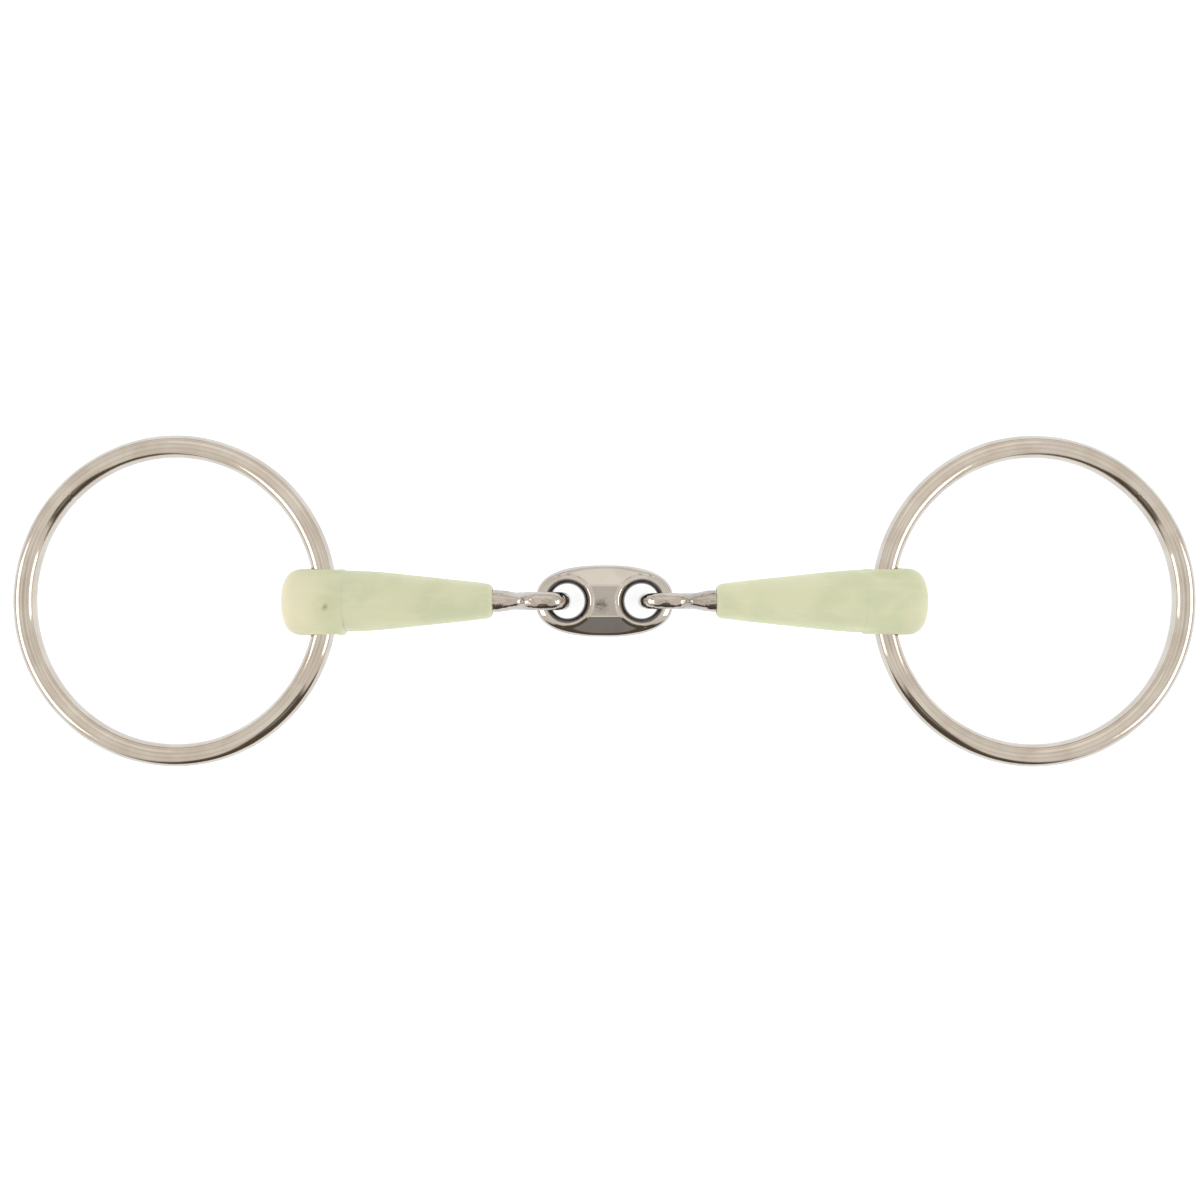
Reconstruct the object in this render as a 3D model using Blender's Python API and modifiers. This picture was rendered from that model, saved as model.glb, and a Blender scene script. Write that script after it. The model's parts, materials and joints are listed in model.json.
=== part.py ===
"""Loose-ring, double-jointed snaffle bit with soft plastic mouthpiece covers.

+X runs along the mouthpiece, +Y along the ring holes and +Z up. The bit lies
flat and settled on z = 0, with the origin on that plane under the middle of
the centre link. Lengths are in metres.
"""

from math import asin, atan, atan2, copysign, cos, hypot, pi, sin, sqrt

import bmesh
import bpy
from mathutils import Matrix

# Overall sizes
MOUTH_WIDTH = 0.1250  # between the axes of the two ring holes
RING_OUTER_D = 0.0750
WIRE_D = 0.0051

# Centre link
LINK_LENGTH = 0.0310
LINK_WIDTH = 0.0162
LINK_CROWN_H = 0.0072  # thickness of the domed blank before its flats are cut
LINK_FLAT_H = 0.0060  # thickness over the two flats
LINK_FLAT_W = 0.0070
LINK_EDGE_H = 0.0022  # where the bevels meet the outline
LINK_ROUNDNESS = 2.5  # exponent of the oval outline
EYE_D = 0.0078
EYE_FLARE = 0.0015  # growth of the eye's radius at the flats
RIM_WIDTH = 0.0032  # steel between an eye and the end of the link

# Core: the steel arm inside each cover
LOOP_WIRE_W = 0.0037  # in the plane of the loop
LOOP_WIRE_T = 0.0042  # across the loop
BAR_D = 0.0052
WAIST_D = 0.0040
WAIST_GAP = 0.0011  # from the loop to the narrowest place
NECK_LENGTH = 0.0030  # from the waist to the full bar
BAR_SHOWING = 0.0006  # full bar between the neck and the sleeve
EYE_WALL = 0.0015
EYE_SHOULDER = 0.0002  # how far the core's eye stands out past the bar on each side

# Liner of the ring hole
LINER_WALL = 0.0007  # at its thin mouths
LINER_STANDOUT = 0.0024  # past the core's eye on each side

# Plastic end cap
CAP_WALL = 0.0004  # where the core's eye comes nearest to the surface
CAP_END_WALL = 0.0034  # beyond the core's eye
DOME_LENGTH = 0.0045
DOME_ROUNDNESS = 2.5
DOME_FLAT_D = 0.0040
CAP_LIP = 0.0006  # rounding of the edge at the seam
BOSS_WALL = 0.0007  # flat-topped plastic round the hole's mouth
SEAM_LAND = 0.0002  # from that boss to the seam with the sleeve
CAP_SHIFT = {"left": 0.0004, "right": 0.0002}  # how far each moulding sits off centre

# Tapered plastic sleeve
SLEEVE_STEP = 0.0005  # how much lower than the cap it is
SLEEVE_TIP_WALL = 0.0013
SLEEVE_PARALLEL = 0.0042  # untapered stretch next to the seam
SLEEVE_TIP_LENGTH = 0.0020  # rounding at the inner end

# Clearances
GAP = 0.0003  # between pieces that touch
LOOP_CLEARANCE = 0.00045  # of the core's loop round the link's rim
RING_CLEARANCE = 0.0003  # of the ring's wire in its liner
MOUTH_CLEARANCE = 0.0002  # of the swivelling wire in the cap's mouth

# Facets
RING_STEPS = 64
WIRE_STEPS = 12
COVER_STEPS = 32
BORE_STEPS = 24
LOOP_STEPS = 28
LINK_STEPS = 48
CURVE_POINTS = 6  # along each rounded stretch of a profile

# Sizes that follow
RING_R = (RING_OUTER_D - WIRE_D) / 2
HINGE_X = (LINK_LENGTH - RIM_WIDTH) / 2
EYE_X = (LINK_LENGTH - EYE_D) / 2 - RIM_WIDTH
ARM_LENGTH = MOUTH_WIDTH / 2 - HINGE_X
RIM_HALF_H = LINK_CROWN_H / 2 * sqrt(1 - (2 * HINGE_X / LINK_LENGTH) ** 2)
LOOP_HOLE_R = hypot(RIM_WIDTH / 2, RIM_HALF_H) + LOOP_CLEARANCE
LOOP_R = LOOP_HOLE_R + LOOP_WIRE_W / 2
LOOP_OUTER_R = LOOP_HOLE_R + LOOP_WIRE_W
LINK_Z = LOOP_OUTER_R
WAIST_X = LOOP_OUTER_R + WAIST_GAP
SLEEVE_X = WAIST_X + NECK_LENGTH + BAR_SHOWING
CORE_EYE_LENGTH = BAR_D + 2 * EYE_SHOULDER
LINER_LENGTH = CORE_EYE_LENGTH + 2 * LINER_STANDOUT
BAR_HOLE_R = BAR_D / 2 + GAP


def wire_reach(y, clearance):
    """Radius round the hole's axis, at y along it, that the ring's curved wire needs."""
    sag = RING_R - sqrt(RING_R**2 - y**2)
    slope = asin(y / RING_R)
    return WIRE_D / 2 / cos(slope) + sag + clearance


LINER_R = wire_reach(LINER_LENGTH / 2, RING_CLEARANCE) + LINER_WALL
CORE_BORE_R = LINER_R + GAP
CORE_EYE_R = CORE_BORE_R + EYE_WALL
POCKET_R = CORE_EYE_R + GAP
POCKET_HALF = CORE_EYE_LENGTH / 2 + GAP
CAP_R = hypot(POCKET_R, POCKET_HALF + max(CAP_SHIFT.values())) + CAP_WALL
CAP_END_X = ARM_LENGTH + POCKET_R + CAP_END_WALL
BOSS_R = wire_reach(CAP_R, MOUTH_CLEARANCE) + BOSS_WALL
SEAM_X = ARM_LENGTH - BOSS_R - SEAM_LAND
SLEEVE_R = CAP_R - SLEEVE_STEP


def settle_angle(reach, radius, height):
    """How far a bar pivoted at a height turns down until a round end meets the ground."""
    return asin(height / hypot(reach, radius)) - atan(radius / reach)


ARM_DROP = settle_angle(SEAM_X + CAP_LIP, CAP_R, LINK_Z)
HOLE_Z = LINK_Z - ARM_LENGTH * sin(ARM_DROP)
RING_DROP = settle_angle(2 * RING_R, WIRE_D / 2, HOLE_Z)

ABOUT_X = (0, pi / 2, 0)  # turns a shape made about Z so that it lies about X
ABOUT_Y = (-pi / 2, 0, 0)


def clear_scene():
    for thing in list(bpy.data.objects):
        bpy.data.objects.remove(thing)


def new_collection(name):
    collection = bpy.data.collections.new(name)
    bpy.context.scene.collection.children.link(collection)
    return collection


def new_material(name, colour, roughness, metallic):
    material = bpy.data.materials.new(name)
    material.use_nodes = True
    shader = material.node_tree.nodes["Principled BSDF"]
    shader.inputs["Base Color"].default_value = (*colour, 1)
    shader.inputs["Roughness"].default_value = roughness
    shader.inputs["Metallic"].default_value = metallic
    return material


def new_object(name, mesh, collection, parent=None, at=(0, 0, 0), turn=(0, 0, 0)):
    thing = bpy.data.objects.new(name, mesh)
    collection.objects.link(thing)
    thing.parent = parent
    thing.location = at
    thing.rotation_euler = turn
    return thing


def add_part(name, mesh, material, parent=None, at=(0, 0, 0), turn=(0, 0, 0)):
    thing = new_object(name, mesh, PARTS, parent, at, turn)
    mesh.materials.append(material)
    return thing


def add_cutter(name, mesh, parent=None, at=(0, 0, 0), turn=(0, 0, 0)):
    thing = new_object(name, mesh, CUTTERS, parent, at, turn)
    thing.hide_render = True
    thing.display_type = "WIRE"
    return thing


def profile_mesh(name, points, closed=False):
    """Edges through (radius, height) points, for a Screw modifier to turn about Z."""
    count = len(points)
    edges = [(i, i + 1) for i in range(count - 1)]
    if closed:
        edges.append((count - 1, 0))
    mesh = bpy.data.meshes.new(name)
    mesh.from_pydata([(radius, 0, height) for radius, height in points], edges, [])
    return mesh


def turn_profile(thing, steps):
    screw = thing.modifiers.new("turn", "SCREW")
    screw.steps = steps
    screw.render_steps = steps
    screw.use_merge_vertices = True
    screw.merge_threshold = 0.00001
    screw.use_smooth_shade = True
    return thing


def combine(thing, other, operation):
    boolean = thing.modifiers.new(f"{operation.lower()} {other.name}", "BOOLEAN")
    boolean.operation = operation
    boolean.solver = "EXACT"
    boolean.object = other


def weld_slivers(thing):
    """Closes the hair-thin faces that Booleans leave where facets nearly meet."""
    weld = thing.modifiers.new("weld", "WELD")
    weld.merge_threshold = 0.00002


def torus_mesh(name, radius, wire_across, wire_along, steps):
    """A ring about Z, with a wire that may be oval."""
    bpy.ops.mesh.primitive_torus_add(
        major_segments=steps,
        minor_segments=WIRE_STEPS,
        major_radius=radius,
        minor_radius=wire_across / 2,
    )
    made = bpy.context.object
    mesh = made.data
    bpy.data.objects.remove(made)
    mesh.name = name
    mesh.transform(Matrix.Diagonal((1, 1, wire_along / wire_across, 1)))
    mesh.shade_smooth()
    return mesh


def power(value, exponent):
    return copysign(abs(value) ** exponent, value)


def oval_blank_mesh(name):
    """A domed blank whose plan is a squared-off oval."""
    shape = bmesh.new()
    bmesh.ops.create_uvsphere(shape, u_segments=LINK_STEPS, v_segments=14, radius=1)
    for vert in shape.verts:
        x, y, z = vert.co
        across = sqrt(max(0, 1 - z * z))
        angle = atan2(y, x)
        vert.co.x = across * LINK_LENGTH / 2 * power(cos(angle), 2 / LINK_ROUNDNESS)
        vert.co.y = across * LINK_WIDTH / 2 * power(sin(angle), 2 / LINK_ROUNDNESS)
        vert.co.z = z * LINK_CROWN_H / 2
    mesh = bpy.data.meshes.new(name)
    shape.to_mesh(mesh)
    shape.free()
    mesh.shade_smooth()
    return mesh


def bevelled_bar_mesh(name):
    """A bar along X with two flats and four bevels, which the link is cut from."""
    slope = (LINK_FLAT_H - LINK_EDGE_H) / (LINK_WIDTH - LINK_FLAT_W)
    half_width = (LINK_WIDTH + LINK_EDGE_H) / 2
    half_edge = LINK_FLAT_H / 2 - slope * (half_width - LINK_FLAT_W / 2)
    section = [
        (LINK_FLAT_W / 2, LINK_FLAT_H / 2),
        (-LINK_FLAT_W / 2, LINK_FLAT_H / 2),
        (-half_width, half_edge),
        (-half_width, -half_edge),
        (-LINK_FLAT_W / 2, -LINK_FLAT_H / 2),
        (LINK_FLAT_W / 2, -LINK_FLAT_H / 2),
        (half_width, -half_edge),
        (half_width, half_edge),
    ]
    shape = bmesh.new()
    corners = [shape.verts.new((-LINK_LENGTH, y, z)) for y, z in section]
    end = shape.faces.new(corners)
    pushed = bmesh.ops.extrude_face_region(shape, geom=[end])
    moved = [item for item in pushed["geom"] if isinstance(item, bmesh.types.BMVert)]
    bmesh.ops.translate(shape, verts=moved, vec=(2 * LINK_LENGTH, 0, 0))
    bmesh.ops.recalc_face_normals(shape, faces=shape.faces)
    mesh = bpy.data.meshes.new(name)
    shape.to_mesh(mesh)
    shape.free()
    return mesh


def flared_eye_profile():
    """Hourglass hole: the eye's bore in the middle, rounded out towards both flats."""
    half = LINK_FLAT_H / 2
    points = []
    for i in range(-CURVE_POINTS, CURVE_POINTS + 1):
        height = -half * sin(pi / 2 * i / CURVE_POINTS)
        growth = 1 - cos(pi / 2 * i / CURVE_POINTS)
        points.append((EYE_D / 2 + EYE_FLARE * growth, height))
    top = (points[0][0], LINK_CROWN_H)
    bottom = (points[-1][0], -LINK_CROWN_H)
    return [(0, LINK_CROWN_H), top, *points, bottom, (0, -LINK_CROWN_H)]


def make_link():
    link = add_part("centre_link", oval_blank_mesh("centre_link"), STEEL_LINK)
    link.location.z = LINK_Z
    bar = add_cutter("link_bevels", bevelled_bar_mesh("link_bevels"), link)
    combine(link, bar, "INTERSECT")
    for side, direction in SIDES.items():
        mesh = profile_mesh(f"{side}_link_eye", flared_eye_profile())
        eye = add_cutter(f"{side}_link_eye", mesh, link, (direction * EYE_X, 0, 0))
        combine(link, turn_profile(eye, BORE_STEPS), "DIFFERENCE")
    weld_slivers(link)


def bar_profile():
    """Bar from inside the core's eye, past a narrow waist, to inside the loop."""
    points = [(0, ARM_LENGTH - CORE_BORE_R - EYE_WALL / 2)]
    points.append((BAR_D / 2, points[0][1]))
    for i in range(CURVE_POINTS + 1):
        turn = pi * i / CURVE_POINTS
        radius = (BAR_D + WAIST_D) / 4 + (BAR_D - WAIST_D) / 4 * cos(turn)
        points.append((radius, WAIST_X + NECK_LENGTH * (1 - i / CURVE_POINTS)))
    points.append((WAIST_D / 2, LOOP_R))
    points.append((0, LOOP_R))
    return points


def tube_profile(outer, inner, length):
    half = length / 2
    return [(outer, half), (outer, -half), (inner, -half), (inner, half)]


def make_core(side, arm):
    core = add_part(f"{side}_core", profile_mesh("bar", bar_profile()), STEEL_CORE, arm)
    core.rotation_euler = ABOUT_X
    turn_profile(core, BORE_STEPS)
    ring_mesh = torus_mesh("loop", LOOP_R, LOOP_WIRE_W, LOOP_WIRE_T, LOOP_STEPS)
    loop = add_cutter(f"{side}_loop", ring_mesh, arm, turn=ABOUT_Y)
    combine(core, loop, "UNION")
    eye_mesh = profile_mesh("eye", tube_profile(CORE_EYE_R, CORE_BORE_R, CORE_EYE_LENGTH), True)
    eye = add_cutter(f"{side}_core_eye", eye_mesh, arm, (ARM_LENGTH, 0, 0), ABOUT_Y)
    combine(core, turn_profile(eye, COVER_STEPS), "UNION")
    weld_slivers(core)


def sleeve_profile():
    """Closed outline, from the seam down the taper to the rounded tip and back up the bore."""
    start = SEAM_X - GAP
    points = [(SLEEVE_R, start), (SLEEVE_R, start - SLEEVE_PARALLEL)]
    for i in range(CURVE_POINTS + 1):
        turn = pi / 2 * i / CURVE_POINTS
        radius = BAR_HOLE_R + SLEEVE_TIP_WALL * cos(turn)
        points.append((radius, SLEEVE_X + SLEEVE_TIP_LENGTH * (1 - sin(turn))))
    points.append((BAR_HOLE_R, start))
    return points


def make_sleeve(side, arm, hole):
    mesh = profile_mesh(f"{side}_sleeve", sleeve_profile(), closed=True)
    sleeve = add_part(f"{side}_sleeve", mesh, PLASTIC_SLEEVE, arm, turn=ABOUT_X)
    combine(turn_profile(sleeve, COVER_STEPS), hole, "DIFFERENCE")
    weld_slivers(sleeve)


def cap_profile():
    """Domed end with a small flat, down to the rounded edge at the seam."""
    flat = DOME_FLAT_D / 2
    base = CAP_END_X - DOME_LENGTH
    points = [(0, CAP_END_X), (flat, CAP_END_X)]
    for i in range(1, CURVE_POINTS + 2):
        turn = pi / 2 * (1 - i / (CURVE_POINTS + 1))
        across = flat + (CAP_R - flat) * cos(turn) ** (2 / DOME_ROUNDNESS)
        points.append((across, base + DOME_LENGTH * sin(turn) ** (2 / DOME_ROUNDNESS)))
    for i in range(3):
        turn = pi / 4 * i
        across = CAP_R - CAP_LIP * (1 - cos(turn))
        points.append((across, SEAM_X + CAP_LIP * (1 - sin(turn))))
    return [*points, (0, SEAM_X)]


def hole_profile():
    """Everything cut along the hole's axis: the core eye's pocket, the liner's bore, the mouths."""
    shoulder = LINER_LENGTH / 2 + GAP
    outside = CAP_R + max(CAP_SHIFT.values()) + CAP_LIP
    mouth = [(wire_reach(y, MOUTH_CLEARANCE), y) for y in (outside, shoulder)]
    upper = [(0, outside), *mouth]
    upper += [(CORE_BORE_R, shoulder), (CORE_BORE_R, POCKET_HALF), (POCKET_R, POCKET_HALF)]
    return upper + [(radius, -height) for radius, height in reversed(upper)]


def make_hole(side, arm):
    """Cutter for the end cap, which reaches into the sleeve where the core's eye does."""
    mesh = profile_mesh(f"{side}_ring_hole", hole_profile())
    hole = add_cutter(f"{side}_ring_hole", mesh, arm, (ARM_LENGTH, 0, 0), ABOUT_Y)
    return turn_profile(hole, COVER_STEPS)


def make_end_cap(side, arm, hole, shift):
    mesh = profile_mesh(f"{side}_end_cap", cap_profile())
    cap = add_part(f"{side}_end_cap", mesh, PLASTIC_CAP, arm, (0, shift, 0), ABOUT_X)
    turn_profile(cap, COVER_STEPS)
    boss_top = CAP_R - CAP_LIP / 4
    boss_points = [(0, boss_top), (BOSS_R, boss_top), (BOSS_R, -boss_top), (0, -boss_top)]
    centre = (ARM_LENGTH, shift, 0)
    boss = add_cutter(f"{side}_boss", profile_mesh("boss", boss_points), arm, centre, ABOUT_Y)
    combine(cap, turn_profile(boss, BORE_STEPS), "UNION")
    combine(cap, hole, "DIFFERENCE")
    neck_top = ARM_LENGTH - CORE_BORE_R
    neck_points = [(0, neck_top), (BAR_HOLE_R, neck_top)]
    neck_points += [(BAR_HOLE_R, SEAM_X - CAP_LIP), (0, SEAM_X - CAP_LIP)]
    neck = add_cutter(f"{side}_neck", profile_mesh("neck", neck_points), arm, turn=ABOUT_X)
    combine(cap, turn_profile(neck, BORE_STEPS), "DIFFERENCE")
    weld_slivers(cap)


def liner_profile():
    """Closed outline of the liner: straight outside, bored to the curve of the ring."""
    half = LINER_LENGTH / 2
    bore = []
    for i in range(-CURVE_POINTS // 2, CURVE_POINTS // 2 + 1):
        height = half * 2 * i / CURVE_POINTS
        bore.append((wire_reach(height, RING_CLEARANCE), height))
    return [(LINER_R, half), (LINER_R, -half), *bore]


def make_liner_and_ring(side, arm):
    hole = new_object(f"{side}_swivel_axis", None, PARTS, arm, (ARM_LENGTH, 0, 0))
    hole.rotation_euler.y = RING_DROP - ARM_DROP
    mesh = profile_mesh(f"{side}_ring_bush", liner_profile(), closed=True)
    liner = add_part(f"{side}_ring_bush", mesh, PLASTIC_LINER, hole, turn=ABOUT_Y)
    turn_profile(liner, BORE_STEPS)
    ring_mesh = torus_mesh(f"{side}_ring", RING_R, WIRE_D, WIRE_D, RING_STEPS)
    add_part(f"{side}_ring", ring_mesh, STEEL_RING, hole, (RING_R, 0, 0))


def make_side(side, direction):
    arm = new_object(f"{side}_fold_axis", None, PARTS, at=(direction * HINGE_X, 0, LINK_Z))
    arm.rotation_euler = (0, ARM_DROP, 0 if direction > 0 else pi)
    make_core(side, arm)
    hole = make_hole(side, arm)
    make_sleeve(side, arm, hole)
    make_end_cap(side, arm, hole, -direction * CAP_SHIFT[side])
    make_liner_and_ring(side, arm)


SIDES = {"left": -1, "right": 1}

clear_scene()
PARTS = new_collection("snaffle_bit")
CUTTERS = new_collection("cutters")
STEEL_LINK = new_material("polished steel link", (0.62, 0.57, 0.52), 0.12, 1.0)
STEEL_CORE = new_material("forged steel arm", (0.58, 0.53, 0.48), 0.20, 1.0)
STEEL_RING = new_material("polished steel ring", (0.64, 0.59, 0.54), 0.10, 1.0)
PLASTIC_SLEEVE = new_material("pale green sleeve", (0.66, 0.66, 0.45), 0.42, 0.0)
PLASTIC_CAP = new_material("pale green cap", (0.68, 0.68, 0.47), 0.42, 0.0)
PLASTIC_LINER = new_material("white liner", (0.80, 0.80, 0.76), 0.50, 0.0)

make_link()
for side_name, side_direction in SIDES.items():
    make_side(side_name, side_direction)
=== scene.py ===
"""Looks of the loose-ring snaffle bit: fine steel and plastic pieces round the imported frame.

Shapes are worked out in millimetres, in the frame of the piece, and then placed where the
packed joints say. The steel link and arms and the plastic covers are the zero levels of
distance fields, and the rings and liners are turned meshes.
"""

import json
from functools import partial
from math import cos, pi, sin

import bpy
import numpy as np
from mathutils import Matrix, Vector, noise


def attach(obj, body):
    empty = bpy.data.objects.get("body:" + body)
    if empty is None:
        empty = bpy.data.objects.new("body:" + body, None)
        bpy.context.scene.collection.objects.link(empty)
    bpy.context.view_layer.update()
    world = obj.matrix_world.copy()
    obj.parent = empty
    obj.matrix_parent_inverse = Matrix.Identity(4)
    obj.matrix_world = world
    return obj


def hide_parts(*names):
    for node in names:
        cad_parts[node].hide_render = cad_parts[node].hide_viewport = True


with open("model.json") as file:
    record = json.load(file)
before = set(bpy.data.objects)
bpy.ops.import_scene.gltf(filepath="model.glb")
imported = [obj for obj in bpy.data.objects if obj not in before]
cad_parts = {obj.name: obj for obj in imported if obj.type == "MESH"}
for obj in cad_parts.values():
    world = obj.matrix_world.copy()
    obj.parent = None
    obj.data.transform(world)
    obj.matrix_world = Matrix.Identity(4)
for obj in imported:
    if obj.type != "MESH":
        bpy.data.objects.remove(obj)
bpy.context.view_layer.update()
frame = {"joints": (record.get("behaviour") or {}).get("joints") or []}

MM = 0.001
SIDES = {"left": -1, "right": 1}
JOINTS = {joint["name"]: joint for joint in frame["joints"]}


def joint_point(name):
    return Vector(JOINTS[name]["pos_m"])


# Places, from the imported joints
HINGE = {side: joint_point(f"{side}_fold") for side in SIDES}
HOLE = {side: joint_point(f"{side}_swivel") for side in SIDES}
RING_CENTRE = {side: joint_point(f"{side}_ring_slide") for side in SIDES}
ARM_LENGTH = (HOLE["right"] - HINGE["right"]).length / MM
RING_R = (RING_CENTRE["right"] - HOLE["right"]).length / MM
LINK_CENTRE = (HINGE["left"] + HINGE["right"]) / 2

# Rings
WIRE_R = 2.55
RING_STEPS = 360
WIRE_STEPS = 40
LONG_WAVE = 0.02
SHORT_WAVE = 0.012
WELD_ANGLE = {"left": -45, "right": 45}
WELD_DEPTH = 0.16
WELD_REACH = 0.55  # degrees
WELD_BULGE = 0.4  # share of the groove's depth
WELD_BULGE_REACH = 1.5  # degrees

# Centre link
LINK_HALF = (15.5, 8.1, 3.6)
LINK_FLAT_Z = 3.0
LINK_FLAT_Y = 3.5
LINK_BEVEL = 0.413  # fall of the bevels for each millimetre out
LINK_ROUNDNESS = 2.5
LINK_EDGE = 0.18
LINK_FLAT_EDGE = 0.12
LINK_STEP = 0.17
MARGIN = 0.6  # between the steel pieces and the edge of their grids
EYE_X = 8.4
EYE_R = 3.85
EYE_FLARE = 1.2
EYE_FLARE_POWER = 2.2
EYE_EDGE = 0.45
BEAD_R = 5.5
BEAD_HALF_W = 0.62
BEAD_H = 0.23
BEAD_FADE = 3.0  # the bead fades away over this length beyond the eye's centre

# Steel arms, from the hinge outwards
LOOP_R = 4.558
LOOP_HALF_W = 1.85
LOOP_HALF_T = {"left": 2.05, "right": 1.80}
BAR_R = {"left": 2.55, "right": 2.48}
WAIST_R = {"left": 1.90, "right": 1.70}
WAIST_X = 4.6
NECK_END_X = 10.9
ROOT_RISE = 1.9  # how far the bar thickens, in the loop's plane, to run out of the loop
ROOT_LENGTH = 3.5
LOOP_FILLET = 0.45
CORE_BORE_R = 4.267
CORE_EYE_R = 5.767
CORE_EYE_HALF = 2.8
CORE_EYE_EDGE = 0.3
CORE_EYE_FILLET = 0.4
BAR_STOP = 0.7  # how far the bar ends short of the eye's bore
ARM_STEP = 0.2
ARM_GRID_HALF_Y = 3.4

# Plastic covers, from the hinge outwards
SLEEVE_X = 11.1
SLEEVE_TIP_R = 1.4
SEAM_X = ARM_LENGTH - 4.5
CAP_END_X = ARM_LENGTH + 9.467
CAP_R = 7.45
CAP_SHIFT = {"left": 0.23, "right": 0.13}  # towards the near side
CAP_LIP = {"left": 1.0, "right": 0.2}  # share of the step that shows at the near side
CAP_LIP_EDGE = 1.0
RUN_OUT_S = 1.0  # how far in from the hole the cap starts to run out into the sleeve
DOME_LENGTH = 4.5
DOME_FLAT_R = 2.0
DOME_ROUNDNESS = 2.5
BOSS_R = 4.3
BOSS_TOP = 7.2
BOSS_EDGE = 0.35
BOSS_FILLET = 0.6
HOLE_EDGE = 0.2
POCKET_R = 6.07
POCKET_HALF = 3.1
LINER_R = 3.967
LINER_HALF = 5.2
LINER_EDGE = 0.1
LINER_STEPS = 96
LINER_END_GAP = 0.3
WIRE_TO_COVER = 0.2
WIRE_TO_LINER = 0.3
WIRE_END_Y = 12  # well beyond the covers
BAR_BORE_R = 2.74
BAR_BORE_EDGE = 0.3
CAP_BORE_EXTRA = 0.1
COVER_STEP = 0.25
COVER_MARGIN = 0.8
COVER_MARGIN_ROUND = 1.2

# Radius of the covers at distances in from the ring hole, and a smooth curve through them
TAPER_S = (4.6, 8.0, 12.5, 17.3, 21.9, 26.4, 29.5, 34.8, 37.5)
TAPER_R = {
    "left": (6.86, 6.79, 6.53, 6.02, 5.57, 5.06, 4.75, 4.14, 3.78),
    "right": (7.10, 6.92, 6.53, 6.02, 5.57, 5.06, 4.75, 4.14, 3.78),
}
TAPER_ENDS = (3, 40)
TAPER = {side: np.polyfit(TAPER_S, radii, 4) for side, radii in TAPER_R.items()}


# Fields, and meshes from them


def fillet(a, b, radius):
    """Union of two fields with a rounded inside corner."""
    u = np.maximum(radius - a, 0)
    v = np.maximum(radius - b, 0)
    return np.maximum(radius, np.minimum(a, b)) - np.hypot(u, v)


def round_off(a, b, radius):
    """Intersection of two fields with a rounded edge."""
    u = np.maximum(radius + a, 0)
    v = np.maximum(radius + b, 0)
    return np.minimum(-radius, np.maximum(a, b)) + np.hypot(u, v)


def slope_of(field, points):
    """Value of a field and its slope along each axis."""
    step = 0.01
    slope = np.empty_like(points)
    for axis in range(3):
        shift = np.zeros(3)
        shift[axis] = step
        slope[:, axis] = (field(points + shift) - field(points - shift)) / (2 * step)
    return field(points), slope


def net_corners(counts, values, axis):
    """Where grid lines along an axis cross the surface, and the four cells round each crossing."""
    near = [slice(None)] * 3
    far = [slice(None)] * 3
    near[axis] = slice(0, -1)
    far[axis] = slice(1, None)
    a = values[tuple(near)]
    b = values[tuple(far)]
    start = np.argwhere((a < 0) != (b < 0))
    at_a = a[tuple(start.T)]
    at_b = b[tuple(start.T)]
    crossing = start.astype(float)
    crossing[:, axis] += at_a / (at_a - at_b)
    cells = []
    for du, dv in ((0, 0), (-1, 0), (-1, -1), (0, -1)):
        cell = start.copy()
        cell[:, (axis + 1) % 3] += du
        cell[:, (axis + 2) % 3] += dv
        cells.append(np.ravel_multi_index(cell.T, counts))
    return crossing, cells, at_a < 0


def skin(field, low, high, step):
    """Surface net: an even skin of quads on the zero level of a field."""
    low = np.array(low, float)
    counts = np.ceil((np.array(high) - low) / step).astype(int) + 1
    grid = np.indices(counts).reshape(3, -1).T * step + low
    values = field(grid).reshape(counts)
    total = np.zeros((counts.prod(), 3))
    hits = np.zeros(counts.prod())
    quads = []
    for axis in range(3):
        crossing, cells, outward = net_corners(counts, values, axis)
        for cell in cells:
            np.add.at(total, cell, crossing)
            np.add.at(hits, cell, 1)
        quad = np.stack(cells, axis=1)
        quads.append(np.where(outward[:, None], quad, quad[:, ::-1]))
    used = hits > 0
    index = np.cumsum(used) - 1
    points = total[used] / hits[used][:, None] * step + low
    for _ in range(4):  # draws the corners onto the surface
        value, slope = slope_of(field, points)
        steepness = np.maximum((slope**2).sum(axis=1), 0.05)
        move = slope * (value / steepness)[:, None]
        points -= np.clip(move, -step / 2, step / 2)
    return points, index[np.concatenate(quads)]


def swell(points, field, amount, size, seed):
    """Moves points in and out of the surface by soft noise, as hand forging leaves it."""
    slope = slope_of(field, points)[1]
    normal = slope / np.maximum(np.linalg.norm(slope, axis=1), 1e-6)[:, None]
    offset = Vector((seed, 2 * seed, 3 * seed))
    heights = [noise.noise(Vector(point) / size + offset) for point in points]
    return points + normal * (np.array(heights) * amount)[:, None]


def turned(profile, steps):
    """Closed (radius, height) outline turned about Z."""
    count = len(profile)
    points = []
    faces = []
    for i in range(steps):
        angle = 2 * pi * i / steps
        points += [(r * cos(angle), r * sin(angle), h) for r, h in profile]
        here = i * count
        there = (i + 1) % steps * count
        for j in range(count):
            k = (j + 1) % count
            faces.append((here + j, there + j, there + k, here + k))
    return np.array(points), np.array(faces)


def add_piece(name, shape, place, material, body, node):
    """A mesh in millimetres, placed, smoothed, and set riding in place of its CAD node."""
    points, faces = shape
    mesh = bpy.data.meshes.new(name)
    mesh.from_pydata(points.tolist(), [], faces.tolist())
    mesh.transform(place @ Matrix.Scale(MM, 4))
    mesh.shade_smooth()
    mesh.materials.append(material)
    piece = bpy.data.objects.new(name, mesh)
    bpy.context.scene.collection.objects.link(piece)
    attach(piece, body)
    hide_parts(node)
    return piece


def frame_at(origin, along, across):
    turn = Matrix((along, across, along.cross(across))).transposed().to_4x4()
    return Matrix.Translation(origin) @ turn


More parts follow.
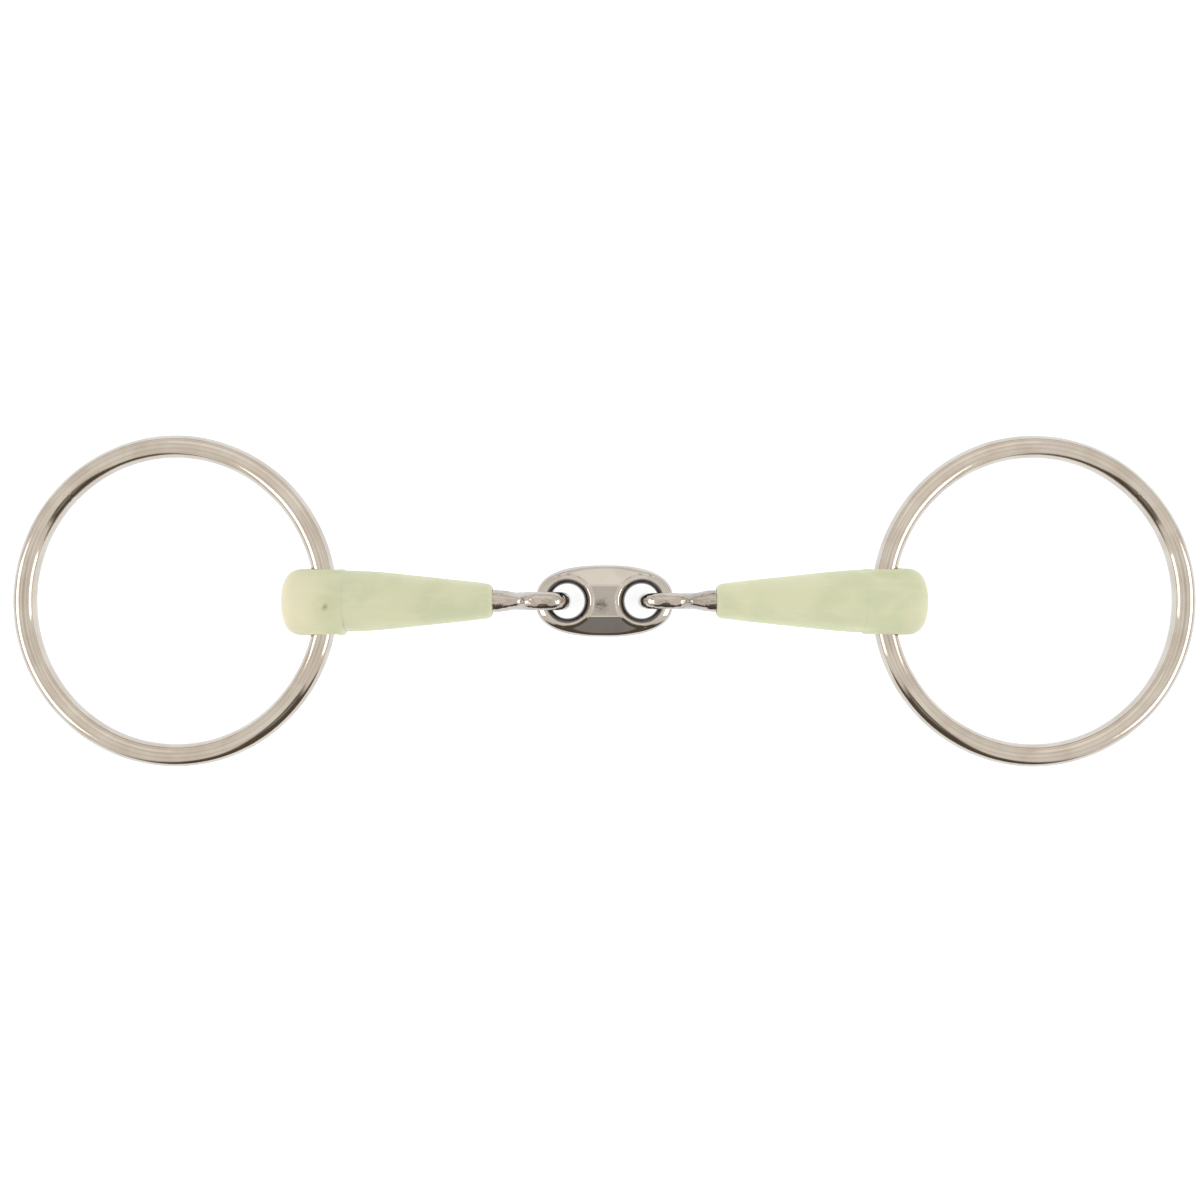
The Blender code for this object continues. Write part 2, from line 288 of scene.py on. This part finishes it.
def arm_frame(side):
    """Origin on the hinge, +X out to the ring hole, +Y along the hole, +Z up."""
    along = (HOLE[side] - HINGE[side]).normalized()
    return frame_at(HINGE[side], along, Vector((0, SIDES[side], 0)))


def ring_frame(side):
    """Origin at the ring's centre, +X away from the mouthpiece, +Z the ring's axis."""
    along = (RING_CENTRE[side] - HOLE[side]).normalized()
    return frame_at(RING_CENTRE[side], along, Vector((0, SIDES[side], 0)))


# Centre link


def oval_blank(x, y, z):
    """Roughly the distance to a domed blank with a squared-off oval plan."""
    a, b, c = LINK_HALF
    n = LINK_ROUNDNESS
    px = np.abs(x / a)
    py = np.abs(y / b)
    plan = np.maximum((px**n + py**n) ** (1 / n), 1e-6)
    whole = np.maximum(np.hypot(plan, z / c), 1e-6)
    dx = px ** (n - 1) * plan ** (2 - n) / a
    dy = py ** (n - 1) * plan ** (2 - n) / b
    dz = z / c**2
    steepness = np.sqrt(dx**2 + dy**2 + dz**2) / whole
    return (whole - 1) / np.maximum(steepness, 0.02)


def link_field(points):
    """Bevelled oval with two flared eyes, and a raised bead round the inner side of each."""
    x, y, z = points.T
    height = np.abs(z)
    round_eye = np.hypot(np.abs(x) - EYE_X, y)
    lean = np.hypot(1, LINK_BEVEL)
    bevel = (height - LINK_FLAT_Z + LINK_BEVEL * (np.abs(y) - LINK_FLAT_Y)) / lean
    body = round_off(oval_blank(x, y, z), bevel, LINK_EDGE)
    body = round_off(body, height - LINK_FLAT_Z, LINK_FLAT_EDGE)
    bead = np.maximum(1 - ((round_eye - BEAD_R) / BEAD_HALF_W) ** 2, 0) ** 1.4
    open_side = np.clip((EYE_X + BEAD_FADE - np.abs(x)) / BEAD_FADE, 0, 1)
    body = body - BEAD_H * bead * open_side
    bore = EYE_R + EYE_FLARE * (height / LINK_FLAT_Z) ** EYE_FLARE_POWER
    return round_off(body, bore - round_eye, EYE_EDGE)


def make_link(material):
    half = np.array(LINK_HALF) + MARGIN
    points, faces = skin(link_field, -half, half, LINK_STEP)
    points = swell(points, link_field, amount=0.02, size=5.0, seed=3)
    place = Matrix.Translation(LINK_CENTRE)
    add_piece("oval_link", (points, faces), place, material, "link", "centre_link")


# Steel arms


def bar_radius(side, x):
    """Full bar, narrowed by a soft neck to a waist behind the loop."""
    t = np.clip((x - WAIST_X) / (NECK_END_X - WAIST_X), 0, 1)
    return WAIST_R[side] + (BAR_R[side] - WAIST_R[side]) * t * t * (3 - 2 * t)


def arm_field(side, points):
    """Loop, bar with a raised root, and the eye that the liner turns in."""
    x, y, z = points.T
    across = (np.hypot(x, z) - LOOP_R) / LOOP_HALF_W
    loop = (np.hypot(across, y / LOOP_HALF_T[side]) - 1) * LOOP_HALF_W
    radius = bar_radius(side, x)
    rise = 1 + ROOT_RISE / radius * np.exp(-(((x - LOOP_R) / ROOT_LENGTH) ** 2))
    bar = np.hypot(y, z / rise) - radius
    bar = np.maximum(bar, LOOP_R - x)
    bar = np.maximum(bar, x - ARM_LENGTH + CORE_BORE_R + BAR_STOP)
    round_hole = np.hypot(x - ARM_LENGTH, z)
    tube = np.abs(round_hole - (CORE_EYE_R + CORE_BORE_R) / 2) - (CORE_EYE_R - CORE_BORE_R) / 2
    eye = round_off(tube, np.abs(y) - CORE_EYE_HALF, CORE_EYE_EDGE)
    return fillet(fillet(loop, bar, LOOP_FILLET), eye, CORE_EYE_FILLET)


def make_arm(side, material):
    reach = LOOP_R + LOOP_HALF_W + MARGIN
    low = (-reach, -ARM_GRID_HALF_Y, -reach)
    high = (ARM_LENGTH + CORE_EYE_R + MARGIN, ARM_GRID_HALF_Y, reach)
    field = partial(arm_field, side)
    points, faces = skin(field, low, high, ARM_STEP)
    seed = 11 if side == "left" else 23
    points = swell(points, field, amount=0.06, size=1.5, seed=seed)
    shape = (points, faces)
    name = f"{side}_steel_arm"
    add_piece(name, shape, arm_frame(side), material, f"{side}_arm", f"{side}_core")


# Plastic covers


def wire_reach(y, clearance):
    """Radius round the hole's axis, at y along it, that the ring's curved wire needs."""
    y = np.minimum(np.abs(y), WIRE_END_Y)
    slanted_wire = WIRE_R / np.sqrt(1 - (y / RING_R) ** 2)
    return slanted_wire + RING_R - np.sqrt(RING_R**2 - y**2) + clearance


def ring_hole(x, y, z):
    """What is cut along the hole's axis: the steel eye's pocket, the liner's bore, the mouths."""
    round_hole = np.hypot(x - ARM_LENGTH, z)
    pocket = np.maximum(round_hole - POCKET_R, np.abs(y) - POCKET_HALF)
    bore = np.maximum(round_hole - CORE_BORE_R, np.abs(y) - LINER_HALF - LINER_END_GAP)
    mouth = round_hole - wire_reach(y, WIRE_TO_COVER)
    return np.minimum(np.minimum(pocket, bore), mouth)


def sleeve_outside(side, points):
    x, y, z = points.T
    return np.hypot(y, z) - np.polyval(TAPER[side], np.clip(ARM_LENGTH - x, *TAPER_ENDS))


def sleeve_field(side, points):
    x, y, z = points.T
    body = round_off(sleeve_outside(side, points), SLEEVE_X - x, SLEEVE_TIP_R)
    body = np.maximum(body, x - SEAM_X)
    body = round_off(body, BAR_BORE_R - np.hypot(y, z), BAR_BORE_EDGE)
    return np.maximum(body, -ring_hole(x, y, z))


def near_side(side, y, z):
    """One on the cover's near (-Y) side, zero above it and minus one on its far side."""
    return -SIDES[side] * y / np.maximum(np.hypot(y, z), 1e-6)


def lip_share(side, y, z):
    """How much of the step down to the sleeve is left to show."""
    return CAP_LIP[side] * np.clip(near_side(side, y, z), 0, 1) ** 4


def cap_outside(side, points):
    """Sits a little to the near side, and runs out flush into the sleeve but for a lip there."""
    x, y, z = points.T
    radius = CAP_R + CAP_SHIFT[side] * near_side(side, y, z)
    t = np.clip((ARM_LENGTH - x - RUN_OUT_S) / (ARM_LENGTH - SEAM_X - RUN_OUT_S), 0, 1)
    step = radius - np.polyval(TAPER[side], ARM_LENGTH - SEAM_X)
    return np.hypot(y, z) - radius + step * t * t * (1 - lip_share(side, y, z))


def cap_field(side, points):
    """Domed end with a boss round each mouth of the ring hole."""
    x, y, z = points.T
    outside = cap_outside(side, points)
    n = DOME_ROUNDNESS
    u = np.maximum(outside + CAP_R - DOME_FLAT_R, 0) / (CAP_R - DOME_FLAT_R)
    v = np.maximum(x - CAP_END_X + DOME_LENGTH, 0) / DOME_LENGTH
    body = ((u**n + v**n) ** (1 / n) - 1) * (CAP_R - DOME_FLAT_R)
    centre = -SIDES[side] * CAP_SHIFT[side]
    boss_side = np.hypot(x - ARM_LENGTH, z) - BOSS_R
    boss = round_off(boss_side, np.abs(y - centre) - BOSS_TOP, BOSS_EDGE)
    body = fillet(body, boss, BOSS_FILLET)
    body = round_off(body, SEAM_X - x, CAP_LIP_EDGE * lip_share(side, y, z) + 1e-6)
    bar_bore = np.maximum(np.hypot(y, z) - BAR_BORE_R - CAP_BORE_EXTRA, x - ARM_LENGTH)
    body = np.maximum(body, -bar_bore)
    return round_off(body, -ring_hole(x, y, z), HOLE_EDGE)


def sharpen_seam(points, outside):
    """Draws the ring of corners next to the seam onto its sharp edge. Returns which they are."""
    beyond = outside(points)
    chosen = (np.abs(points[:, 0] - SEAM_X) < COVER_STEP / 2) & (beyond > -0.75 * COVER_STEP)
    points[chosen, 0] = SEAM_X
    radius = np.hypot(points[chosen, 1], points[chosen, 2])
    scale = (radius - outside(points[chosen])) / radius
    points[chosen, 1:] *= scale[:, None]
    return chosen


def mark_sharp(piece, chosen):
    """Keeps the shading apart on the two sides of the seam's edge."""
    mesh = piece.data
    ends = np.empty(2 * len(mesh.edges), int)
    mesh.edges.foreach_get("vertices", ends)
    sharp = chosen[ends].reshape(-1, 2).all(axis=1)
    mesh.edges.foreach_set("use_edge_sharp", sharp)


FIELDS = {"taper": sleeve_field, "end": cap_field}
OUTSIDES = {"taper": sleeve_outside, "end": cap_outside}


def cover_piece(side, part, node, material):
    """The sleeve or the cap, with the grid set so that the seam falls in the middle of a cell."""
    field = partial(FIELDS[part], side)
    outside = partial(OUTSIDES[part], side)
    start, end = (SLEEVE_X, SEAM_X) if part == "taper" else (SEAM_X, CAP_END_X)
    cells = round((SEAM_X - start + COVER_MARGIN) / COVER_STEP) + 0.5
    wide = CAP_R + COVER_MARGIN_ROUND
    low = (SEAM_X - cells * COVER_STEP, -wide, -wide)
    points, faces = skin(field, low, (end + COVER_MARGIN, wide, wide), COVER_STEP)
    chosen = sharpen_seam(points, outside)
    shape = (points, faces)
    body = f"{side}_arm"
    name = f"{side}_cover_{part}"
    piece = add_piece(name, shape, arm_frame(side), material, body, f"{side}_{node}")
    mark_sharp(piece, chosen)


# Liners and rings


def make_liner(side, material):
    half = LINER_HALF
    edge = LINER_EDGE
    top = [(LINER_R - edge, half), (LINER_R, half - edge)]
    bottom = [(LINER_R, edge - half), (LINER_R - edge, -half)]
    heights = np.linspace(-half, half, 17)
    inside = list(zip(wire_reach(heights, WIRE_TO_LINER), heights))
    place = arm_frame(side) @ Matrix.Translation((ARM_LENGTH * MM, 0, 0))
    place = place @ Matrix.Rotation(-pi / 2, 4, "X")
    shape = turned(top + bottom + inside, LINER_STEPS)
    name = f"{side}_hole_liner"
    add_piece(name, shape, place, material, f"{side}_liner", f"{side}_ring_bush")


def make_ring(side, material):
    """Round wire, a little uneven from bending, with the groove its closing weld left."""
    angle = np.linspace(0, 2 * pi, RING_STEPS, endpoint=False)[:, None]
    round_wire = np.linspace(0, 2 * pi, WIRE_STEPS, endpoint=False)[None, :]
    from_weld = np.degrees(angle) - WELD_ANGLE[side]
    from_weld = (from_weld + 180) % 360 - 180
    bulge = WELD_BULGE * np.exp(-((from_weld / WELD_BULGE_REACH) ** 2))
    groove = np.exp(-((from_weld / WELD_REACH) ** 2)) - bulge
    inner = 0.5 - 0.5 * np.cos(round_wire)
    wave = LONG_WAVE * np.sin(3 * angle + 1) + SHORT_WAVE * np.sin(7 * angle)
    wire = WIRE_R - WELD_DEPTH * groove * (0.35 + 0.65 * inner) + wave * 0.5
    reach = RING_R + wave + wire * np.cos(round_wire)
    height = wire * np.sin(round_wire)
    points = np.stack([reach * np.cos(angle), reach * np.sin(angle), height], axis=-1)
    i = np.arange(RING_STEPS)[:, None]
    j = np.arange(WIRE_STEPS)[None, :]
    i2 = (i + 1) % RING_STEPS
    j2 = (j + 1) % WIRE_STEPS
    faces = np.stack([
        i * WIRE_STEPS + j,
        i2 * WIRE_STEPS + j,
        i2 * WIRE_STEPS + j2,
        i * WIRE_STEPS + j2,
    ], axis=-1).reshape(-1, 4)
    shape = (points.reshape(-1, 3), faces)
    name = f"{side}_ring_wire"
    add_piece(name, shape, ring_frame(side), material, f"{side}_cheek", f"{side}_ring")


# Materials

# Painted shade: the walls of the link's eyes are painted darker, standing in for the dark the steel
# reflects there, fully up to one distance from the middle and not at all beyond the other
EYE_MIDDLES = [(side * EYE_X * MM, 0, 0) for side in SIDES.values()]
EYE_SHADE = (0.13, 0.12, 0.11)
SHADED_TO = 4.75 * MM
UNSHADED_FROM = 5.15 * MM


class Paint:
    """A material's node tree, with short calls for the nodes used here."""

    def __init__(self, name):
        self.material = bpy.data.materials.new(name)
        self.material.use_nodes = True
        self.nodes = self.material.node_tree.nodes
        self.links = self.material.node_tree.links
        self.shader = self.nodes["Principled BSDF"]
        self.place = self.nodes.new("ShaderNodeTexCoord").outputs["Object"]

    def set(self, **values):
        for name, value in values.items():
            self.shader.inputs[name.replace("_", " ")].default_value = value

    def wire(self, source, target):
        self.links.new(source, target)

    def stretched(self, scale):
        """Object coordinates, scaled unevenly, for streaks."""
        node = self.nodes.new("ShaderNodeMapping")
        node.inputs["Scale"].default_value = scale
        self.wire(self.place, node.inputs["Vector"])
        return node.outputs["Vector"]

    def noise(self, size_mm, detail=3, place=None, distortion=0.0):
        node = self.nodes.new("ShaderNodeTexNoise")
        node.inputs["Scale"].default_value = 1 / (size_mm * MM)
        node.inputs["Detail"].default_value = detail
        node.inputs["Distortion"].default_value = distortion
        self.wire(place or self.place, node.inputs["Vector"])
        return node.outputs["Fac"]

    def spread(self, value, low, high, to_low=0.0, to_high=1.0):
        node = self.nodes.new("ShaderNodeMapRange")
        node.interpolation_type = "SMOOTHSTEP"
        limits = (low, high, to_low, to_high)
        for name, limit in zip(("From Min", "From Max", "To Min", "To Max"), limits):
            node.inputs[name].default_value = limit
        self.wire(value, node.inputs["Value"])
        return node.outputs["Result"]

    def mix(self, share, first, second):
        node = self.nodes.new("ShaderNodeMix")
        node.data_type = "RGBA"
        self.wire(share, node.inputs["Factor"])
        for colour, socket in ((first, node.inputs["A"]), (second, node.inputs["B"])):
            if isinstance(colour, tuple):
                socket.default_value = (*colour, 1)
            else:
                self.wire(colour, socket)
        return node.outputs["Result"]

    def near(self, point, reach, core=0.0, place=None):
        """One within the core round a point and zero beyond a reach, all in metres."""
        node = self.nodes.new("ShaderNodeVectorMath")
        node.operation = "DISTANCE"
        node.inputs[1].default_value = point
        self.wire(place or self.place, node.inputs[0])
        return self.spread(node.outputs["Value"], core, reach, 1, 0)

    def times(self, first, second, share):
        """Product of two values, times a fixed share."""
        product = first
        for factor in (second, share):
            node = self.nodes.new("ShaderNodeMath")
            node.operation = "MULTIPLY"
            self.wire(product, node.inputs[0])
            if isinstance(factor, float):
                node.inputs[1].default_value = factor
            else:
                self.wire(factor, node.inputs[1])
            product = node.outputs["Value"]
        return product

    def bump(self, height, depth_mm, normal=None):
        node = self.nodes.new("ShaderNodeBump")
        node.inputs["Strength"].default_value = 1.0
        node.inputs["Distance"].default_value = depth_mm * MM
        self.wire(height, node.inputs["Height"])
        if normal:
            self.wire(normal, node.inputs["Normal"])
        return node.outputs["Normal"]


def steel(name, bright, dull, roughness, forged, shaded_eyes=()):
    """Warm polished steel with faint clouding, fine wipe marks and forging ripples, and painted
    shade on the walls of any eyes given.
    """
    paint = Paint(name)
    paint.set(Metallic=1.0)
    cloud = paint.spread(paint.noise(6, 4), 0.35, 0.7)
    colour = paint.mix(cloud, bright, dull)
    marks = paint.noise(1.2, 5, paint.stretched((0.25, 1, 1)))
    rough = paint.spread(marks, 0.3, 0.75, roughness * 0.7, roughness * 1.4)
    # painted shade: the eye walls are darkened towards EYE_SHADE, for the dark that the steel
    # reflects inside the eyes
    for point in shaded_eyes:
        plan = paint.stretched((1, 1, 0))
        wall = paint.near(point, UNSHADED_FROM, SHADED_TO, plan)
        colour = paint.mix(wall, colour, EYE_SHADE)
    paint.wire(colour, paint.shader.inputs["Base Color"])
    paint.wire(rough, paint.shader.inputs["Roughness"])
    normal = paint.bump(paint.noise(1.6, 2), 0.012 * forged)
    normal = paint.bump(paint.noise(0.35, 2), 0.0006, normal)
    paint.wire(normal, paint.shader.inputs["Normal"])
    return paint.material


def cover_plastic(name, green, cream, blush, warm_end=None, spot=None):
    """Soft pale plastic, mottled from green to cream, with lengthwise flow streaks."""
    paint = Paint(name)
    paint.set(Subsurface_Weight=0.12, Subsurface_Scale=0.002, IOR=1.47)
    paint.set(Subsurface_Radius=(1.0, 0.9, 0.5))
    cloud = paint.spread(paint.noise(9, 3, distortion=0.4), 0.35, 0.68)
    colour = paint.mix(cloud, green, cream)
    patches = paint.spread(paint.noise(5, 2), 0.55, 0.8, 0, 0.55)
    colour = paint.mix(patches, colour, blush)
    streaks = paint.noise(1.6, 4, paint.stretched((0.12, 1, 1)))
    pale = tuple(min(1, channel * 1.07) for channel in cream)
    colour = paint.mix(paint.spread(streaks, 0.5, 0.8, 0, 0.5), colour, pale)
    if warm_end:
        warmth = paint.near(warm_end, reach=13 * MM, core=4 * MM)
        colour = paint.mix(warmth, colour, tuple(channel * 1.15 for channel in blush))
    if spot:
        ragged = paint.spread(paint.noise(1.6, 3), 0.25, 0.75, 0.25, 1)
        halo = paint.times(paint.near(spot, 4.0 * MM), ragged, 0.55)
        colour = paint.mix(halo, colour, (0.58, 0.53, 0.30))
        mark = paint.times(paint.near(spot, 1.2 * MM), ragged, 0.95)
        colour = paint.mix(mark, colour, (0.30, 0.29, 0.15))
    paint.wire(colour, paint.shader.inputs["Base Color"])
    rough = paint.spread(paint.noise(2.5, 4), 0.3, 0.7, 0.38, 0.50)
    paint.wire(rough, paint.shader.inputs["Roughness"])
    normal = paint.bump(streaks, 0.02)
    normal = paint.bump(paint.noise(0.3, 2), 0.004, normal)
    paint.wire(normal, paint.shader.inputs["Normal"])
    return paint.material


def liner_plastic():
    """Off-white bearing plastic."""
    paint = Paint("liner_plastic")
    colour = paint.mix(paint.noise(3, 3), (0.74, 0.74, 0.66), (0.80, 0.80, 0.74))
    paint.wire(colour, paint.shader.inputs["Base Color"])
    rough = paint.spread(paint.noise(1, 3), 0.3, 0.7, 0.42, 0.55)
    paint.wire(rough, paint.shader.inputs["Roughness"])
    paint.wire(paint.bump(paint.noise(0.4, 2), 0.004), paint.shader.inputs["Normal"])
    return paint.material


# Studio

FLOOR_REACH = 6.0
SEEN_FLOOR_Z = -0.06
HORIZON_R = 1.1
HORIZON_Z = (0.03, 0.13)
HORIZON_STEPS = 64
STAND_Y = -0.215
STAND_HALF_W = 0.30
STAND_LOW_Z = -0.022
STAND_TOP_Z = 0.45
LENS_Z = 0.33
LENS_OUTLINE = ((-0.0042, -0.0046), (0.0054, -0.0046), (0.0040, -0.0008), (-0.0026, -0.0008))
ALMOST_BLACK = (0.02, 0.02, 0.02)

# Sine of the height above the horizon, and how bright the surroundings are there
SKY_BANDS = (
    (0.0, 0.98),
    (0.22, 0.96),
    (0.34, 0.72),
    (0.44, 0.84),
    (0.66, 0.88),
    (0.78, 0.86),
    (0.845, 0.70),
    (0.885, 0.92),
    (0.955, 0.95),
    (0.978, 0.82),
    (0.990, 0.70),
    (1.0, 0.68),
)


def plain_paint(name, colour, glow=0.0, tint=(1, 1, 1)):
    """Dull paint that may glow."""
    paint = Paint(name)
    paint.set(Base_Color=(*colour, 1), Roughness=0.9)
    paint.set(Emission_Color=(*tint, 1), Emission_Strength=glow)
    paint.set(Specular_IOR_Level=0.0)
    return paint


def add_stage(name, points, faces, material):
    mesh = bpy.data.meshes.new(name)
    mesh.from_pydata(points, [], faces)
    mesh.materials.append(material)
    thing = bpy.data.objects.new(name, mesh)
    bpy.context.scene.collection.objects.link(thing)
    return thing


def add_floor(name, level, paint):
    corners = [(-FLOOR_REACH, -FLOOR_REACH), (FLOOR_REACH, -FLOOR_REACH)]
    corners += [(FLOOR_REACH, FLOOR_REACH), (-FLOOR_REACH, FLOOR_REACH)]
    return add_stage(name, [(x, y, level) for x, y in corners], [(0, 1, 2, 3)], paint.material)


def make_floor():
    """White floor, and one lower down that the polished steel reflects instead."""
    white = plain_paint("floor_white", (0.8, 0.8, 0.8), 0.6)
    grey = plain_paint("floor_grey", ALMOST_BLACK, 1.10, (0.93, 1.0, 1.10))
    floor = add_floor("floor", 0, white)
    floor.visible_glossy = False
    only_in_reflections(add_floor("floor_seen_in_steel", SEEN_FLOOR_Z, grey))


def only_in_reflections(thing):
    thing.visible_camera = False
    thing.visible_diffuse = False
    thing.visible_shadow = False


def add_horizon(paint):
    """Low round wall far off, seen only in reflections."""
    points = []
    for i in range(HORIZON_STEPS + 1):
        angle = -pi / 2 + pi * (2 * i / HORIZON_STEPS - 1)
        for height in HORIZON_Z:
            points.append((HORIZON_R * cos(angle), HORIZON_R * sin(angle), height))
    faces = [(2 * i, 2 * i + 2, 2 * i + 3, 2 * i + 1) for i in range(HORIZON_STEPS)]
    only_in_reflections(add_stage("horizon", points, faces, paint.material))


def add_stand(name, y, scale, centre_z, core, reach):
    """Dark upright card with a soft oval outline, and a greyer spot where the bevel reflects it."""
    paint = plain_paint(name, ALMOST_BLACK, 1.0)
    middle = (0, y, centre_z * scale[2])
    outline = paint.near(middle, reach, core, paint.stretched(scale))
    spot = paint.near((0, y, -y), reach=0.085, core=0.035)
    glow = paint.mix(spot, (0.085, 0.064, 0.046), (0.245, 0.25, 0.255))
    paint.wire(outline, paint.shader.inputs["Alpha"])
    paint.wire(glow, paint.shader.inputs["Emission Color"])
    corners = [(-STAND_HALF_W, STAND_LOW_Z), (STAND_HALF_W, STAND_LOW_Z)]
    corners += [(STAND_HALF_W, STAND_TOP_Z), (-STAND_HALF_W, STAND_TOP_Z)]
    card = add_stage(name, [(x, y, z) for x, z in corners], [(0, 1, 2, 3)], paint.material)
    only_in_reflections(card)


def make_surround():
    """A grey horizon, and the dark camera stand and lens, all seen only in the steel."""
    add_horizon(plain_paint("surround_far", ALMOST_BLACK, 0.36, (1.0, 0.96, 0.9)))
    add_stand("stand_post", STAND_Y, (3.0, 1, 0.92), centre_z=0.05, core=0.225, reach=0.40)
    foot_y = STAND_Y - 0.004
    add_stand("stand_foot", foot_y, (0.92, 1, 2.1), centre_z=0.02, core=0.16, reach=0.27)
    lens = [(x, y, LENS_Z) for x, y in LENS_OUTLINE]
    dark = plain_paint("lens_dark", (0.02, 0.02, 0.025), 0.12)
    only_in_reflections(add_stage("lens_reflection", lens, [(0, 1, 2, 3)], dark.material))


def add_softbox(name, place, size, radiance):
    """Area light aimed at the object, not itself visible."""
    light = bpy.data.lights.new(name, "AREA")
    light.shape = "RECTANGLE"
    light.size, light.size_y = size
    light.energy = radiance * pi * size[0] * size[1]
    box = bpy.data.objects.new(name, light)
    box.location = place
    box.rotation_mode = "QUATERNION"
    aim = Vector((0, 0, 0.01)) - Vector(place)
    box.rotation_quaternion = aim.to_track_quat("-Z", "Y")
    box.visible_camera = False
    bpy.context.scene.collection.objects.link(box)


def make_sky():
    """Pale surroundings that are a little dimmer overhead, with soft bands as a studio has."""
    world = bpy.data.worlds.new("studio")
    world.use_nodes = True
    nodes = world.node_tree.nodes
    links = world.node_tree.links
    height = nodes.new("ShaderNodeSeparateXYZ")
    links.new(nodes.new("ShaderNodeTexCoord").outputs["Generated"], height.inputs["Vector"])
    ramp = nodes.new("ShaderNodeValToRGB")
    links.new(height.outputs["Z"], ramp.inputs["Fac"])
    stops = ramp.color_ramp.elements
    stops[0].position = 0.0
    stops[1].position = 1.0
    for place, level in SKY_BANDS:
        if place in (0.0, 1.0):
            stop = stops[0] if place == 0.0 else stops[-1]
        else:
            stop = stops.new(place)
        stop.color = (level, level, level * 1.01, 1)
    links.new(ramp.outputs["Color"], nodes["Background"].inputs["Color"])
    nodes["Background"].inputs["Strength"].default_value = 1.0
    bpy.context.scene.world = world


def make_lights():
    make_sky()
    for side, sign in SIDES.items():
        place = (sign * 0.85, -0.15, 0.42)
        add_softbox(f"{side}_softbox", place, size=(0.6, 0.35), radiance=2.4)
    add_softbox("back_softbox", (0.0, 0.75, 0.75), size=(1.2, 0.5), radiance=0.18)


def make_camera():
    data = bpy.data.cameras.new("camera")
    data.lens = 40
    data.sensor_width = 36
    camera = bpy.data.objects.new("camera", data)
    camera.location = (-0.00102, 0.00023, 0.307)
    bpy.context.scene.collection.objects.link(camera)
    bpy.context.scene.camera = camera


def paler(colour):
    """The right cover's plastic is a shade paler."""
    return tuple(channel * 1.045 for channel in colour)


def make_object():
    bright, dull = (0.69, 0.61, 0.505), (0.62, 0.53, 0.43)
    ring_steel = steel("ring_steel", bright, dull, roughness=0.10, forged=0.8)
    bright, dull = (0.66, 0.595, 0.51), (0.60, 0.53, 0.45)
    eyes = EYE_MIDDLES
    link_steel = steel("link_steel", bright, dull, roughness=0.05, forged=0.35, shaded_eyes=eyes)
    bright, dull = (0.60, 0.525, 0.44), (0.44, 0.38, 0.32)
    arm_steel = steel("arm_steel", bright, dull, roughness=0.08, forged=15.0)
    liner = liner_plastic()
    green = (0.59, 0.61, 0.39)
    cream = (0.66, 0.66, 0.435)
    blush = (0.67, 0.63, 0.43)
    spot = HOLE["left"] + Vector((1.1, -1.4, CAP_R)) * MM
    warm_end = HOLE["left"] + Vector((-8, -1, 3)) * MM
    pale = [paler(colour) for colour in (green, cream, blush)]
    covers = {
        "left": cover_plastic("left_cover_plastic", green, cream, blush, warm_end, spot),
        "right": cover_plastic("right_cover_plastic", *pale),
    }
    make_link(link_steel)
    for side in SIDES:
        make_arm(side, arm_steel)
        cover_piece(side, "taper", "sleeve", covers[side])
        cover_piece(side, "end", "end_cap", covers[side])
        make_liner(side, liner)
        make_ring(side, ring_steel)


bpy.context.scene.view_settings.view_transform = "Standard"
make_object()
make_floor()
make_surround()
make_lights()
make_camera()
